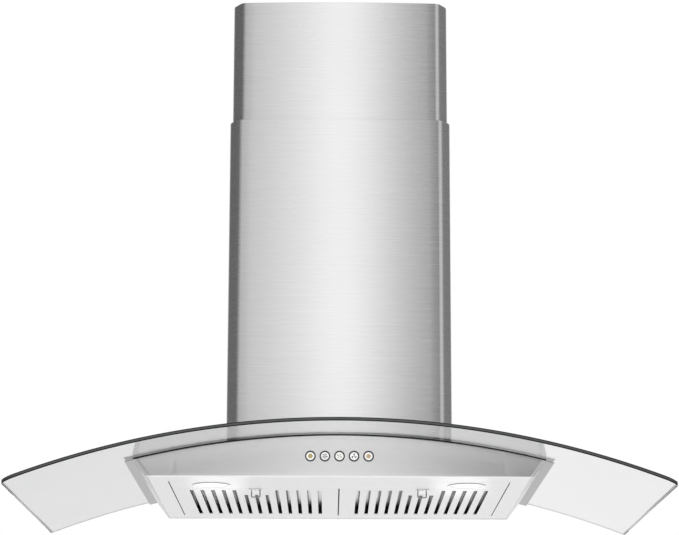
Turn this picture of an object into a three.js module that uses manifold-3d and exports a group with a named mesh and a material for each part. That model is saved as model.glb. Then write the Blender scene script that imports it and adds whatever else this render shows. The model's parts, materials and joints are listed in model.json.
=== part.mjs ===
// A ceiling-hung range hood: a bent glass canopy on a slim steel body, with a blower and a telescoping chimney.
// Millimetres. X runs to the right, Y to the rear, Z up.
// The origin is under the middle of the glass, level with its lowest edge.
import * as THREE from 'three';
import { mergeVertices } from 'three/addons/utils/BufferGeometryUtils.js';
import Module from 'manifold-3d';

const wasm = await Module();
wasm.setup();

// ---- driving dimensions ----
const GAP = 0.3;                    // clearance between pieces that touch
const SHEET = 1.5;                  // body sheet
const ARC_STEP = 25;                // spacing of the points along the bend

const GLASS_HALF_WIDTH = 450;
const GLASS_HALF_DEPTH = 300;
const GLASS_SAG = 84.6;             // rise of the bend from edge to middle
const GLASS_THICK = 5;
const GLASS_FRONT_CORNER = 18;
const GLASS_REAR_CORNER = 8;
const GASKET = 1.2;

const BODY_FRONT = -178;
const BODY_REAR = 297;
const BODY_BOTTOM = 25;
const BODY_BOTTOM_HALF = 266;
const BODY_TOP_HALF = 285;
const PANEL_BOW = 6;                // the front panel swells this much in plan
const FLANGE_HALF = 296;            // the top plate reaches past the sides

const MID_Y = 59.5;                 // middle of the chimney and blower
const OPENING_HALF = 239;           // underside opening for lamp panel and filters
const OPENING_FRONT = -130;
const OPENING_REAR = 262;
const LAMP_PANEL_REAR = -58.3;
const LAMP_X = 180;
const LAMP_Y = -95;
const LAMP_HOLE = 24.3;

const FILTER_HEIGHT = 15;
const FILTER_SHEET = 1.2;
const SLOT_COUNT = 13;
const SLOT_PITCH = 15.3;
const SLOT_WIDTH = 5.5;
const SLOT_FRONT = -39;
const SLOT_REAR = 242;
const SLOT_FRONT_BY_LATCH = 14;

const BUTTON_PITCH = 20;
const BUTTON_Z = 53.5;
const BUTTON_RADIUS = 5.4;
const RING_RADIUS = 7.4;

const LOWER_HALF_WIDTH = 161.5;
const LOWER_HALF_DEPTH = 150;
const LOWER_TOP = 563.5;
const UPPER_HALF_WIDTH = 158;
const UPPER_HALF_DEPTH = 146.5;
const UPPER_BOTTOM = 345;
const CHIMNEY_BOW = 5;              // the front and rear faces swell this much
const CHIMNEY_FACET_X = 13;         // the corners are cut off by a narrow facet
const CHIMNEY_FACET_Y = 21;
const CHIMNEY_SHEET = 1;
const TOP = 744.5;                  // the ceiling

const NECK_HALF_WIDTH = 144;
const NECK_HALF_DEPTH = 134;
const NECK_TOP = 98;
const POST_LEG = 20;
const POST_SHEET = 2;
const UPPER_POST_X = 143;
const UPPER_POST_Y = 132;
const LOWER_POST_TOP = 560;
const UPPER_POST_BOTTOM = 420;

const BOX_HALF_WIDTH = 115;
const BOX_HALF_DEPTH = 105;
const BOX_TOP = 300;
const COLLAR_RADIUS = 75;
const COLLAR_TOP = 350;
const DAMPER_Z = 328;

const FAN_Y = MID_Y - 20;
const FAN_Z = 190;
const VOLUTE_LEFT = -42;
const VOLUTE_RIGHT = 64;
const WHEEL_RADIUS = 64;

// ---- materials ----
function finish(color, metalness, roughness) {
  return new THREE.MeshStandardMaterial({ color, metalness, roughness });
}
const steel = finish(0xc2c4c6, 1, 0.32);
const galvanised = finish(0xa9adb0, 0.9, 0.5);
const blackRubber = finish(0x141414, 0, 0.8);
const blackPlastic = finish(0x202122, 0, 0.5);
const whitePlastic = finish(0xf1f0ec, 0, 0.35);
const greenBoard = finish(0x1f5a35, 0, 0.6);
const frostedLens = finish(0xffffff, 0, 0.5);
const aluminium = finish(0xb4b7ba, 1, 0.4);
const glass = new THREE.MeshStandardMaterial({
  color: 0xdfe8e6,
  metalness: 0,
  roughness: 0.04,
  transparent: true,
  opacity: 0.35,
});

// ---- solids ----
function toSolid(geometry) {
  const bare = geometry.index ? geometry.toNonIndexed() : geometry.clone();
  bare.deleteAttribute('normal');
  bare.deleteAttribute('uv');
  const merged = mergeVertices(bare, 1e-4);
  const vertProperties = new Float32Array(merged.attributes.position.array);
  const triVerts = new Uint32Array(merged.index.array);
  return new wasm.Manifold(new wasm.Mesh({ numProp: 3, vertProperties, triVerts }));
}

function toGeometry(solid) {
  const mesh = solid.getMesh();
  const geometry = new THREE.BufferGeometry();
  geometry.setAttribute('position', new THREE.BufferAttribute(mesh.vertProperties, 3));
  geometry.setIndex(new THREE.BufferAttribute(mesh.triVerts, 1));
  geometry.computeVertexNormals();
  return geometry;
}

function outline(points) {
  return new THREE.Shape(points.map(([a, b]) => new THREE.Vector2(a, b)));
}

function extruded(shape, depth, curveSegments) {
  return new THREE.ExtrudeGeometry(shape, { depth, bevelEnabled: false, curveSegments });
}

function alongX(shape, x0, x1, curveSegments = 8) {
  const geometry = extruded(shape, x1 - x0, curveSegments);
  const [x, y, z] = [new THREE.Vector3(1, 0, 0), new THREE.Vector3(0, 1, 0), new THREE.Vector3(0, 0, 1)];
  geometry.applyMatrix4(new THREE.Matrix4().makeBasis(y, z, x));
  geometry.translate(x0, 0, 0);
  return toSolid(geometry);
}

function alongY(shape, y0, y1, curveSegments = 8) {
  const geometry = extruded(shape, y1 - y0, curveSegments);
  geometry.rotateX(Math.PI / 2);
  geometry.translate(0, y1, 0);
  return toSolid(geometry);
}

function alongZ(shape, z0, z1, curveSegments = 8) {
  const geometry = extruded(shape, z1 - z0, curveSegments);
  geometry.translate(0, 0, z0);
  return toSolid(geometry);
}

function block(x0, x1, y0, y1, z0, z1) {
  const geometry = new THREE.BoxGeometry(x1 - x0, y1 - y0, z1 - z0);
  geometry.translate((x0 + x1) / 2, (y0 + y1) / 2, (z0 + z1) / 2);
  return toSolid(geometry);
}

function disc(axis, radius, from, to, [a, b], segments = 20) {
  const geometry = new THREE.CylinderGeometry(radius, radius, to - from, segments);
  const middle = (from + to) / 2;
  if (axis === 'x') {
    geometry.rotateZ(Math.PI / 2);
    geometry.translate(middle, a, b);
  } else if (axis === 'y') {
    geometry.translate(a, middle, b);
  } else {
    geometry.rotateX(Math.PI / 2);
    geometry.translate(a, b, middle);
  }
  return toSolid(geometry);
}

function tube(axis, outer, inner, from, to, centre, segments = 20) {
  return disc(axis, outer, from, to, centre, segments)
    .subtract(disc(axis, inner, from - 1, to + 1, centre, segments));
}

// ---- the object ----
const hood = new THREE.Group();
hood.name = 'island_range_hood';

function add(name, solid, material) {
  const mesh = new THREE.Mesh(toGeometry(solid), material);
  mesh.name = name;
  hood.add(mesh);
}

// Every curved piece follows one bend. offset moves the arc outwards from the underside of the glass.
const BEND_RADIUS = (GLASS_HALF_WIDTH ** 2 + GLASS_SAG ** 2) / (2 * GLASS_SAG);

function bendZ(x, offset) {
  return Math.sqrt((BEND_RADIUS + offset) ** 2 - x * x) - (BEND_RADIUS - GLASS_SAG);
}

function bendPoints(halfWidth, offset) {
  const steps = Math.ceil(halfWidth / ARC_STEP) - 1;
  const inner = [];
  for (let i = -steps; i <= steps; i += 1) inner.push(i * ARC_STEP);
  return [-halfWidth, ...inner, halfWidth].map((x) => [x, bendZ(x, offset)]);
}

function bendBand(halfWidth, low, high) {
  return outline([...bendPoints(halfWidth, low), ...bendPoints(halfWidth, high).reverse()]);
}

function underBend(halfWidth, offset, floor) {
  return outline([[-halfWidth, floor], [halfWidth, floor], ...bendPoints(halfWidth, offset).reverse()]);
}

const GASKET_TOP = -GAP;
const GASKET_BOTTOM = GASKET_TOP - GASKET;
const PLATE_TOP = GASKET_BOTTOM - GAP;
const PLATE_BOTTOM = PLATE_TOP - SHEET;
const SIDE_TOP = PLATE_BOTTOM - GAP;
const PANEL_FACE = BODY_FRONT - PANEL_BOW;

// ---- glass canopy and its seal ----
function canopyPlan() {
  const [w, d, f, r] = [GLASS_HALF_WIDTH, GLASS_HALF_DEPTH, GLASS_FRONT_CORNER, GLASS_REAR_CORNER];
  const shape = new THREE.Shape();
  shape.moveTo(-w + f, -d);
  shape.lineTo(w - f, -d);
  shape.absarc(w - f, -d + f, f, -Math.PI / 2, 0);
  shape.lineTo(w, d - r);
  shape.absarc(w - r, d - r, r, 0, Math.PI / 2);
  shape.lineTo(-w + r, d);
  shape.absarc(-w + r, d - r, r, Math.PI / 2, Math.PI);
  shape.lineTo(-w, -d + f);
  shape.absarc(-w + f, -d + f, f, Math.PI, 1.5 * Math.PI);
  return shape;
}

function glassCanopy() {
  const band = alongY(bendBand(GLASS_HALF_WIDTH + ARC_STEP, 0, GLASS_THICK), -GLASS_HALF_DEPTH, GLASS_HALF_DEPTH);
  const plan = alongZ(canopyPlan(), -GLASS_SAG, 2 * GLASS_SAG, 6);
  const margin = 2;
  const [x, y] = [NECK_HALF_WIDTH + margin, NECK_HALF_DEPTH + margin];
  const cutout = block(-x, x, MID_Y - y, MID_Y + y, 0, 2 * GLASS_SAG);
  return band.intersect(plan).subtract(cutout);
}

// The plan of the body behind the bowed front, moved back by setback and cut off at rear.
function bowedPlan(setback, rear) {
  const half = BODY_TOP_HALF + 1;
  const radius = (BODY_TOP_HALF ** 2 + PANEL_BOW ** 2) / (2 * PANEL_BOW);
  const front = [];
  for (let x = -half; x <= half; x += half / 10) {
    front.push([x, BODY_FRONT + setback - Math.sqrt(radius ** 2 - x * x) + radius - PANEL_BOW]);
  }
  return outline([...front, [half, rear], [-half, rear]]);
}

function glassGasket() {
  const width = 9;
  const front = BODY_FRONT - PANEL_BOW;
  const seal = alongY(bendBand(BODY_TOP_HALF, GASKET_BOTTOM, GASKET_TOP), front, BODY_REAR)
    .intersect(alongZ(bowedPlan(1, BODY_REAR - 1), 0, 2 * GLASS_SAG));
  const inside = block(
    -BODY_TOP_HALF + width, BODY_TOP_HALF - width, BODY_FRONT + width, BODY_REAR - width, 0, 2 * GLASS_SAG,
  );
  return seal.subtract(inside);
}

// ---- steel body ----
const SIDE_SLOPE = (BODY_TOP_HALF - BODY_BOTTOM_HALF) / (bendZ(BODY_TOP_HALF, PLATE_TOP) - BODY_BOTTOM);

function sideX(z) {
  return BODY_BOTTOM_HALF + (z - BODY_BOTTOM) * SIDE_SLOPE;
}

// Half the width at which a sloping side, moved in by inset, meets the bend at that offset.
function topHalfWidth(inset, offset) {
  let x = BODY_TOP_HALF;
  for (let i = 0; i < 20; i += 1) x = sideX(bendZ(x, offset)) - inset;
  return x;
}

function bodySection(inset, topOffset, bottom) {
  return outline([
    [-sideX(bottom) + inset, bottom],
    [sideX(bottom) - inset, bottom],
    ...bendPoints(topHalfWidth(inset, topOffset), topOffset).reverse(),
  ]);
}

function buttonX(index) {
  return (index - 2) * BUTTON_PITCH;
}

// A bowed sheet with a lip folded back along its top and bottom edges.
function frontPanel() {
  const [front, rear] = [BODY_FRONT - PANEL_BOW, BODY_FRONT + SHEET];
  const section = alongY(bodySection(0, PLATE_TOP, BODY_BOTTOM), front - 1, rear);
  const face = alongZ(bowedPlan(0, rear), 0, 2 * GLASS_SAG);
  const behind = alongZ(bowedPlan(SHEET, rear + 1), 0, 2 * GLASS_SAG);
  const betweenLips = alongY(bodySection(-1, PLATE_TOP - SHEET, BODY_BOTTOM + SHEET), front - 1, rear + 1);
  let panel = section.intersect(face).subtract(behind.intersect(betweenLips));
  for (let i = 0; i < 5; i += 1) {
    const hole = disc('y', RING_RADIUS - 0.8, PANEL_FACE - 1, PANEL_FACE + 3, [buttonX(i), BUTTON_Z]);
    panel = panel.subtract(hole);
  }
  return panel;
}

function bodyShell() {
  const front = BODY_FRONT + SHEET + GAP;
  const outer = alongY(bodySection(0, SIDE_TOP, BODY_BOTTOM), front, BODY_REAR);
  const inside = alongY(bodySection(SHEET, 2 * SHEET, BODY_BOTTOM - 2 * SHEET), front - 1, BODY_REAR - SHEET);
  return outer.subtract(inside);
}

function topPlate() {
  const front = BODY_FRONT + SHEET + GAP;
  const plate = alongY(bendBand(FLANGE_HALF, PLATE_BOTTOM, PLATE_TOP), front, BODY_REAR);
  const [x, y] = [BOX_HALF_WIDTH - 5, BOX_HALF_DEPTH - 5];
  return plate.subtract(block(-x, x, MID_Y - y, MID_Y + y, 0, 2 * GLASS_SAG));
}

function bottomFrame() {
  const x = BODY_BOTTOM_HALF - SHEET - GAP;
  const front = BODY_FRONT + SHEET + GAP;
  const rear = BODY_REAR - SHEET - GAP;
  const top = BODY_BOTTOM + SHEET;
  const sheet = block(-x, x, front, rear, BODY_BOTTOM, top);
  return sheet.subtract(block(-OPENING_HALF, OPENING_HALF, OPENING_FRONT, OPENING_REAR, 0, 2 * top));
}

function lampPanel() {
  const [x, clearance] = [OPENING_HALF - 0.6, 0.6];
  const top = BODY_BOTTOM + SHEET;
  let panel = block(-x, x, OPENING_FRONT + clearance, LAMP_PANEL_REAR, BODY_BOTTOM, top);
  for (const side of [-1, 1]) {
    panel = panel.subtract(disc('z', LAMP_HOLE, 0, 2 * top, [side * LAMP_X, LAMP_Y], 28));
  }
  return panel;
}

// The neck stands on the top plate, rises through the glass and carries the blower box and the posts.
function neck() {
  const [w, d] = [NECK_HALF_WIDTH, NECK_HALF_DEPTH];
  const wall = 2;
  const ledge = 2;
  const [hx, hy] = [BOX_HALF_WIDTH - 5, BOX_HALF_DEPTH - 5];
  const outer = block(-w, w, MID_Y - d, MID_Y + d, 0, NECK_TOP);
  const hollow = block(-w + wall, w - wall, MID_Y - d + wall, MID_Y + d - wall, -1, NECK_TOP - ledge);
  const mouth = block(-hx, hx, MID_Y - hy, MID_Y + hy, 0, NECK_TOP + 1);
  const below = alongY(underBend(FLANGE_HALF, PLATE_TOP + GAP, -10), BODY_FRONT, BODY_REAR);
  return outer.subtract(hollow).subtract(mouth).subtract(below);
}

// ---- lamps ----
const LAMP_RIM = 1.2;

function lampBezel(side) {
  const centre = [side * LAMP_X, LAMP_Y];
  const rim = tube('z', LAMP_HOLE + 3, LAMP_HOLE - 2.5, BODY_BOTTOM - GAP - LAMP_RIM, BODY_BOTTOM - GAP, centre, 28);
  const sleeve = tube('z', LAMP_HOLE - GAP, LAMP_HOLE - 2.5, BODY_BOTTOM - 1, BODY_BOTTOM + 3, centre, 28);
  return rim.add(sleeve);
}

function lampLens(side) {
  const radius = LAMP_HOLE - 2.8;
  return disc('z', radius, BODY_BOTTOM - LAMP_RIM, BODY_BOTTOM + 1, [side * LAMP_X, LAMP_Y], 28);
}

function lampHousing(side) {
  const centre = [side * LAMP_X, LAMP_Y];
  const bottom = BODY_BOTTOM + 3 + GAP;
  let housing = disc('z', LAMP_HOLE - 1, bottom, bottom + 20, centre);
  for (const z of [bottom + 7, bottom + 13]) {
    housing = housing.subtract(tube('z', LAMP_HOLE + 2, LAMP_HOLE - 5, z, z + 3, centre));
  }
  return housing;
}

// ---- grease filters, hinged at the rear and latched at the front ----
function filterSpan(side) {
  const [near, far] = [0.6, OPENING_HALF - 0.6];
  return side > 0 ? [near, far] : [-far, -near];
}

const FILTER_FRONT = LAMP_PANEL_REAR + 0.6;
const FILTER_REAR = OPENING_REAR - 0.6;

function slotShape(x, y0, y1) {
  const r = SLOT_WIDTH / 2;
  const shape = new THREE.Shape();
  shape.moveTo(x + r, y0 + r);
  shape.lineTo(x + r, y1 - r);
  shape.absarc(x, y1 - r, r, 0, Math.PI);
  shape.lineTo(x - r, y0 + r);
  shape.absarc(x, y0 + r, r, Math.PI, 2 * Math.PI);
  return shape;
}

function slotX(side, index) {
  const [x0, x1] = filterSpan(side);
  return (x0 + x1) / 2 + (index - (SLOT_COUNT - 1) / 2) * SLOT_PITCH;
}

function isByLatch(index) {
  return Math.abs(index - (SLOT_COUNT - 1) / 2) <= 1;
}

function filterTray(side) {
  const [x0, x1] = filterSpan(side);
  const wall = FILTER_SHEET;
  const top = BODY_BOTTOM + FILTER_HEIGHT;
  const floor = BODY_BOTTOM + wall;
  let tray = block(x0, x1, FILTER_FRONT, FILTER_REAR, BODY_BOTTOM, top);
  tray = tray.subtract(block(x0 + wall, x1 - wall, FILTER_FRONT + wall, FILTER_REAR - wall, floor, top + 1));
  for (let i = 0; i < SLOT_COUNT; i += 1) {
    const start = isByLatch(i) ? SLOT_FRONT_BY_LATCH : SLOT_FRONT;
    tray = tray.subtract(alongZ(slotShape(slotX(side, i), start, SLOT_REAR), BODY_BOTTOM - 1, floor + 1, 3));
  }
  return tray;
}

// Channels over the slots turn the air, so that grease drops out. Two bars tie them together.
function filterBaffles(side) {
  const [x0, x1] = filterSpan(side);
  const [sheet, width, depth] = [0.8, 11, 6];
  const top = BODY_BOTTOM + FILTER_HEIGHT - 0.5;
  const inset = FILTER_SHEET + GAP;
  const [y0, y1] = [FILTER_FRONT + inset, FILTER_REAR - inset];
  const bar = 10;
  let baffles = block(x0 + inset, x1 - inset, y0, y0 + bar, top - sheet, top)
    .add(block(x0 + inset, x1 - inset, y1 - bar, y1, top - sheet, top));
  for (let i = 0; i < SLOT_COUNT; i += 1) {
    const x = slotX(side, i);
    const half = width / 2;
    const channel = block(x - half, x + half, y0, y1, top - depth, top)
      .subtract(block(x - half + sheet, x + half - sheet, y0 - 1, y1 + 1, top - depth - 1, top - sheet));
    baffles = baffles.add(channel);
  }
  return baffles;
}

// A flat latch slides on the underside of the filter and is drawn back by its finger loop.
function filterLatch(side) {
  const x = slotX(side, (SLOT_COUNT - 1) / 2);
  const [thick, half] = [1.2, 9];
  const top = BODY_BOTTOM - GAP;
  const plate = block(x - half, x + half, FILTER_FRONT + 1, FILTER_FRONT + 36, top - thick, top);
  const [loopOuter, wire] = [7, 2];
  const loopY = FILTER_FRONT + 30;
  const loop = block(x - loopOuter, x + loopOuter, loopY, loopY + wire, top - 9, top - thick + 0.5)
    .subtract(block(x - loopOuter + wire, x + loopOuter - wire, loopY - 1, loopY + wire + 1, top - 9 + wire, top - thick));
  return plate.add(loop);
}

// ---- push buttons ----
const SWITCH_FRONT = PANEL_FACE + 13;

function buttonRing(index) {
  const centre = [buttonX(index), BUTTON_Z];
  const inner = BUTTON_RADIUS + 0.4;
  const rim = tube('y', RING_RADIUS, inner, PANEL_FACE - GAP - 1.2, PANEL_FACE - GAP, centre);
  return rim.add(tube('y', RING_RADIUS - 1.1, inner, PANEL_FACE - 1, PANEL_FACE + 5, centre));
}

function pushButton(index) {
  const centre = [buttonX(index), BUTTON_Z];
  const cap = disc('y', BUTTON_RADIUS, PANEL_FACE - 1.3, PANEL_FACE + 8, centre);
  return cap.add(disc('y', 2, PANEL_FACE + 7, PANEL_FACE + 18, centre, 12));
}

function switchHousing() {
  let housing = block(-52, 52, SWITCH_FRONT, SWITCH_FRONT + 12, BUTTON_Z - 9, BUTTON_Z + 9);
  for (let i = 0; i < 5; i += 1) {
    housing = housing.subtract(disc('y', 2.5, SWITCH_FRONT - 1, SWITCH_FRONT + 9, [buttonX(i), BUTTON_Z], 12));
  }
  return housing;
}

function controlBoard() {
  const y = SWITCH_FRONT + 12 + GAP;
  return block(-62, 62, y, y + 1.6, BUTTON_Z - 14, BUTTON_Z + 14);
}

function ledDriver() {
  const z = BODY_BOTTOM + SHEET + GAP;
  return block(-55, 55, LAMP_Y - 16, LAMP_Y + 16, z, z + 22);
}

// ---- chimney ----
const BOW_STEPS = 12;

// One side of a cover half, from the seam round the facets and the bowed face, as [x, distance from the middle].
function coverPath(halfWidth, halfDepth, inset) {
  const w = halfWidth - inset;
  const flat = w - CHIMNEY_FACET_X + inset / 2;
  const edge = halfDepth - inset - CHIMNEY_BOW;
  const bowRadius = (flat ** 2 + CHIMNEY_BOW ** 2) / (2 * CHIMNEY_BOW);
  const face = [];
  for (let i = 0; i <= BOW_STEPS; i += 1) {
    const x = flat - (2 * flat * i) / BOW_STEPS;
    face.push([x, edge + CHIMNEY_BOW - bowRadius + Math.sqrt(bowRadius ** 2 - x * x)]);
  }
  const facetEnd = edge - CHIMNEY_FACET_Y + inset / 2;
  return [[w, GAP / 2], [w, facetEnd], ...face, [-w, facetEnd], [-w, GAP / 2]];
}

function coverHalf(halfWidth, halfDepth, facing) {
  const outer = coverPath(halfWidth, halfDepth, 0);
  const inner = coverPath(halfWidth, halfDepth, CHIMNEY_SHEET).reverse();
  const placed = [...outer, ...inner].map(([x, d]) => [x, MID_Y + facing * d]);
  return outline(facing > 0 ? placed : placed.reverse());
}

function lowerCover(facing) {
  const cover = alongZ(coverHalf(LOWER_HALF_WIDTH, LOWER_HALF_DEPTH, facing), 0, LOWER_TOP);
  const overGlass = GLASS_THICK + 2 * GAP;
  return cover.subtract(alongY(underBend(FLANGE_HALF, overGlass, -10), -GLASS_HALF_DEPTH, GLASS_HALF_DEPTH));
}

function upperCover(facing) {
  return alongZ(coverHalf(UPPER_HALF_WIDTH, UPPER_HALF_DEPTH, facing), UPPER_BOTTOM, TOP - GAP);
}

// ---- hanging frame ----
function anglePost(sideX, sideY, cornerX, cornerY, z0, z1) {
  const [leg, t] = [POST_LEG, POST_SHEET];
  const section = [[0, 0], [-leg, 0], [-leg, -t], [-t, -t], [-t, -leg], [0, -leg]];
  const placed = section.map(([x, y]) => [sideX * (cornerX + x), MID_Y + sideY * (cornerY + y)]);
  return alongZ(outline(placed), z0, z1);
}

function ceilingPlate() {
  const thick = 2.7;
  const [x, y] = [144, 133];
  let plate = block(-x, x, MID_Y - y, MID_Y + y, TOP - thick, TOP);
  plate = plate.subtract(disc('z', 85, TOP - 10, TOP + 10, [0, MID_Y], 28));
  for (const sx of [-1, 1]) {
    for (const sy of [-1, 1]) {
      plate = plate.subtract(disc('z', 3.5, TOP - 10, TOP + 10, [sx * 105, MID_Y + sy * 95], 10));
    }
  }
  return plate;
}

// ---- blower ----
function blowerBox() {
  const [w, d, t] = [BOX_HALF_WIDTH, BOX_HALF_DEPTH, 1.2];
  const bottom = NECK_TOP + GAP;
  const outer = block(-w, w, MID_Y - d, MID_Y + d, bottom, BOX_TOP);
  const inner = block(-w + t, w - t, MID_Y - d + t, MID_Y + d - t, bottom - 1, BOX_TOP - t);
  const outlet = disc('z', COLLAR_RADIUS - 1, BOX_TOP - 10, BOX_TOP + 10, [0, MID_Y], 28);
  return outer.subtract(inner).subtract(outlet);
}

// The scroll widens round the wheel from its tongue and turns up into the outlet.
function scrollOutline(inset) {
  const [tongue, turn, steps] = [65, 295, 22];
  const [start, growth] = [72, 22];
  const top = BOX_TOP - 1.2 - GAP - FAN_Z + (inset > 0 ? 5 : 0);
  const points = [];
  for (let i = 0; i <= steps; i += 1) {
    const angle = THREE.MathUtils.degToRad(tongue + (turn * i) / steps);
    const radius = start + (growth * i) / steps - inset;
    points.push([FAN_Y + radius * Math.cos(angle), FAN_Z + radius * Math.sin(angle)]);
  }
  points.push([FAN_Y + start + growth - inset, FAN_Z + top]);
  points.push([FAN_Y + 14 + inset, FAN_Z + top]);
  return outline(points);
}

function blowerHousing() {
  const wall = 2;
  const shaft = [FAN_Y, FAN_Z];
  return alongX(scrollOutline(0), VOLUTE_LEFT, VOLUTE_RIGHT)
    .subtract(alongX(scrollOutline(wall), VOLUTE_LEFT + wall, VOLUTE_RIGHT - wall))
    .subtract(disc('x', 52, VOLUTE_RIGHT - 5, VOLUTE_RIGHT + 5, shaft, 28))
    .subtract(disc('x', 14, VOLUTE_LEFT - 5, VOLUTE_LEFT + 5, shaft));
}

function impeller() {
  const [left, right, blades] = [VOLUTE_LEFT + 6, VOLUTE_RIGHT - 6, 20];
  const shaft = [FAN_Y, FAN_Z];
  const inner = WHEEL_RADIUS - 12;
  let wheel = disc('x', WHEEL_RADIUS, left, left + 2, shaft)
    .add(disc('x', 12, left, left + 26, shaft))
    .add(tube('x', WHEEL_RADIUS, inner, right - 4, right, shaft))
    .subtract(disc('x', 4.3, left - 1, left + 30, shaft, 20));
  for (let i = 0; i < blades; i += 1) {
    const blade = new THREE.BoxGeometry(right - left - 2, 1.4, 11);
    blade.rotateX(THREE.MathUtils.degToRad(24));
    blade.translate((left + right) / 2, 0, WHEEL_RADIUS - 6.3);
    blade.rotateX((i / blades) * 2 * Math.PI);
    blade.translate(0, FAN_Y, FAN_Z);
    wheel = wheel.add(toSolid(blade));
  }
  return wheel;
}

const MOTOR_RIGHT = VOLUTE_LEFT - 3;

function motorShaft() {
  return disc('x', 4, MOTOR_RIGHT - 40, VOLUTE_LEFT + 34, [FAN_Y, FAN_Z], 20);
}

function motorBracket() {
  return tube('x', 46, 20, VOLUTE_LEFT - 2.5, VOLUTE_LEFT - GAP, [FAN_Y, FAN_Z]);
}

function motor() {
  const centre = [FAN_Y, FAN_Z];
  return disc('x', 37, MOTOR_RIGHT - 46, MOTOR_RIGHT, centre)
    .add(disc('x', 24, MOTOR_RIGHT - 52, MOTOR_RIGHT - 45, centre))
    .subtract(disc('x', 4.4, MOTOR_RIGHT - 42, MOTOR_RIGHT + 1, centre, 20));
}

// ---- duct collar with a two-leaf damper ----
function ductCollar() {
  const centre = [0, MID_Y];
  const bottom = BOX_TOP + GAP;
  const wall = 1.2;
  const ledge = tube('z', COLLAR_RADIUS - wall + 0.2, COLLAR_RADIUS - 5, DAMPER_Z - 2.3, DAMPER_Z - 0.8, centre, 28)
    .subtract(disc('x', 2.4, -COLLAR_RADIUS + wall, COLLAR_RADIUS - wall, [MID_Y, DAMPER_Z], 16));
  return tube('z', COLLAR_RADIUS, COLLAR_RADIUS - wall, bottom, COLLAR_TOP, centre, 28)
    .add(tube('z', COLLAR_RADIUS + 8, COLLAR_RADIUS - wall, bottom, bottom + 1.2, centre, 28))
    .add(ledge);
}

function damperShaft() {
  return disc('x', 2, -COLLAR_RADIUS + 1.6, COLLAR_RADIUS - 1.6, [MID_Y, DAMPER_Z], 16);
}

function damperFlap(facing) {
  const radius = COLLAR_RADIUS - 3;
  const leaf = disc('z', radius, DAMPER_Z - 0.5, DAMPER_Z + 0.5, [0, MID_Y], 28);
  const keep = facing > 0 ? [MID_Y + 2.6, MID_Y + 100] : [MID_Y - 100, MID_Y - 2.6];
  return leaf.intersect(block(-100, 100, keep[0], keep[1], DAMPER_Z - 5, DAMPER_Z + 5));
}

// ---- electrics on the blower box ----
const JUNCTION = { x0: -113, x1: -86, depth: 35, z0: BOX_TOP + GAP, z1: BOX_TOP + 40 };

function junctionBox() {
  return block(JUNCTION.x0, JUNCTION.x1, MID_Y - JUNCTION.depth, MID_Y + JUNCTION.depth, JUNCTION.z0, JUNCTION.z1);
}

function cableGland() {
  const centre = [(JUNCTION.x0 + JUNCTION.x1) / 2, MID_Y];
  const bottom = JUNCTION.z1 + GAP;
  return tube('z', 10, 4, bottom, bottom + 6, centre, 6)
    .add(tube('z', 7.5, 4, bottom + 5, bottom + 18, centre, 20));
}

// ---- assembly ----
add('glass_canopy', glassCanopy(), glass);
add('glass_gasket', glassGasket(), blackRubber);
add('front_panel', frontPanel(), steel);
add('body_shell', bodyShell(), steel);
add('top_plate', topPlate(), steel);
add('bottom_frame', bottomFrame(), steel);
add('lamp_panel', lampPanel(), steel);
add('neck', neck(), galvanised);

for (const [side, word] of [[-1, 'left'], [1, 'right']]) {
  add(`lamp_bezel_${word}`, lampBezel(side), steel);
  add(`lamp_lens_${word}`, lampLens(side), frostedLens);
  add(`lamp_housing_${word}`, lampHousing(side), aluminium);
  add(`filter_${word}`, filterTray(side), steel);
  add(`filter_baffles_${word}`, filterBaffles(side), steel);
  add(`filter_latch_${word}`, filterLatch(side), steel);
}

['power', 'fan_low', 'fan_medium', 'fan_high', 'light'].forEach((word, index) => {
  add(`button_${word}`, pushButton(index), whitePlastic);
  add(`button_ring_${word}`, buttonRing(index), blackPlastic);
});
add('switch_housing', switchHousing(), blackPlastic);
add('control_board', controlBoard(), greenBoard);
add('led_driver', ledDriver(), whitePlastic);

for (const [facing, word] of [[-1, 'front'], [1, 'rear']]) {
  add(`lower_cover_${word}`, lowerCover(facing), steel);
  add(`upper_cover_${word}`, upperCover(facing), steel);
  add(`damper_flap_${word}`, damperFlap(facing), galvanised);
  for (const [side, hand] of [[-1, 'left'], [1, 'right']]) {
    const inner = POST_SHEET + 0.4;
    add(
      `upper_post_${word}_${hand}`,
      anglePost(side, facing, UPPER_POST_X, UPPER_POST_Y, UPPER_POST_BOTTOM, TOP - 3),
      galvanised,
    );
    add(
      `lower_post_${word}_${hand}`,
      anglePost(side, facing, UPPER_POST_X - inner, UPPER_POST_Y - inner, NECK_TOP + GAP, LOWER_POST_TOP),
      galvanised,
    );
  }
}
add('ceiling_plate', ceilingPlate(), galvanised);

add('blower_box', blowerBox(), galvanised);
add('blower_housing', blowerHousing(), blackPlastic);
add('impeller', impeller(), blackPlastic);
add('motor_shaft', motorShaft(), aluminium);
add('motor_bracket', motorBracket(), galvanised);
add('motor', motor(), aluminium);
add('duct_collar', ductCollar(), blackPlastic);
add('damper_shaft', damperShaft(), aluminium);
add('junction_box', junctionBox(), blackPlastic);
add('cable_gland', cableGland(), blackPlastic);

export default hood;
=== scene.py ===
"""The looks of a ceiling-hung range hood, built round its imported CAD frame. Metres, +Z up."""
import json
import math

import bmesh
import bpy
from mathutils import Matrix, Vector


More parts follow.
